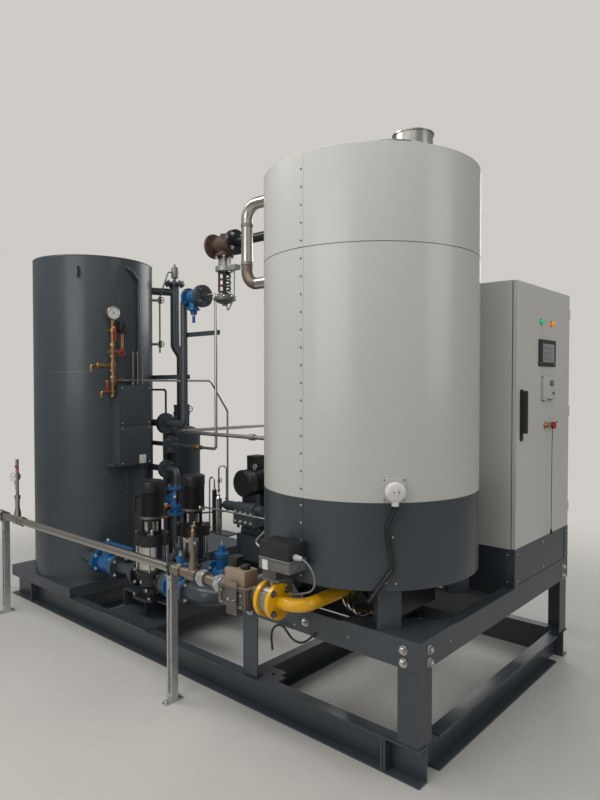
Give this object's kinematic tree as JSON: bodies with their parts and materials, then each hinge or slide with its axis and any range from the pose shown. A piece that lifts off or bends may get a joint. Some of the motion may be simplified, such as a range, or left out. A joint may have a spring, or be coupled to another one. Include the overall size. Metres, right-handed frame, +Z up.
{
  "type": "industrial boiler",
  "caption": "Skid-mounted vertical steam boiler plant with feedwater tank, pumps, separator, gas train and control cabinet.",
  "frame": {"origin": "under the middle of the whole plant, on the floor", "axes": "+X to the right along the skid's long side, +Y from the front to the back, +Z up"},
  "size_m": [3.734, 2.0449, 2.901],
  "materials": {
    "black_paint": "satin black paint",
    "black_plastic": "black plastic",
    "blue_epoxy": "blue epoxy coating",
    "brass": "dull brass",
    "cabinet_paint": "fine textured light grey powder coat",
    "casing_paint": "semi-gloss light grey paint",
    "gas_yellow": "gloss yellow paint",
    "oxide_iron": "brown cast iron",
    "slate_paint": "semi-gloss slate paint",
    "stainless": "brushed stainless steel",
    "white_plastic": "white plastic",
    "zinc": "galvanised"
  },
  "bodies": {
    "plant": {"skid_beams": "slate_paint", "skid_cross_members": "slate_paint", "tank_platform": "slate_paint", "pump_deck": "slate_paint", "stand_legs": "slate_paint", "stand_frame": "slate_paint", "drum_feet": "slate_paint", "drum_floor": "slate_paint", "drum_skirt": "slate_paint", "drum_casing": "casing_paint", "drum_upper_casing": "casing_paint", "drum_roof": "casing_paint", "flue_collar": "stainless", "burner_windbox": "black_paint", "level_sensor": "white_plastic", "cabinet_plinth": "slate_paint", "cabinet_frame": "cabinet_paint", "cabinet_back": "cabinet_paint", "mounting_plate": "zinc", "tank_floor": "slate_paint", "tank_shell": "slate_paint", "tank_roof": "slate_paint", "tank_manifold": "brass", "tank_control_box": "slate_paint", "suction_line": "slate_paint", "line_valves": "blue_epoxy", "pump_bases": "black_paint", "pump_sleeves": "stainless", "pump_motors": "black_paint", "discharge_line": "slate_paint", "separator_shell": "slate_paint", "separator_ends": "slate_paint", "riser_pipes": "slate_paint", "regulator_valve": "oxide_iron", "steam_line": "black_paint", "return_loop": "stainless", "feed_pump": "slate_paint", "feed_pump_motor": "black_paint", "gas_pipe": "stainless", "gas_posts": "zinc", "gas_valves": "zinc", "gas_flange_pipe": "gas_yellow"},
    "door": {"cabinet_door": "cabinet_paint", "door_handle": "black_plastic", "door_fittings": "black_plastic"}
  },
  "joints": [
    {"name": "cabinet_door_hinge", "type": "hinge", "parent": "plant", "child": "door", "pos_m": [1.833, 1.0165, 1.497], "axis": [0, 0, 1], "range_deg": [0, 130]}
  ]
}
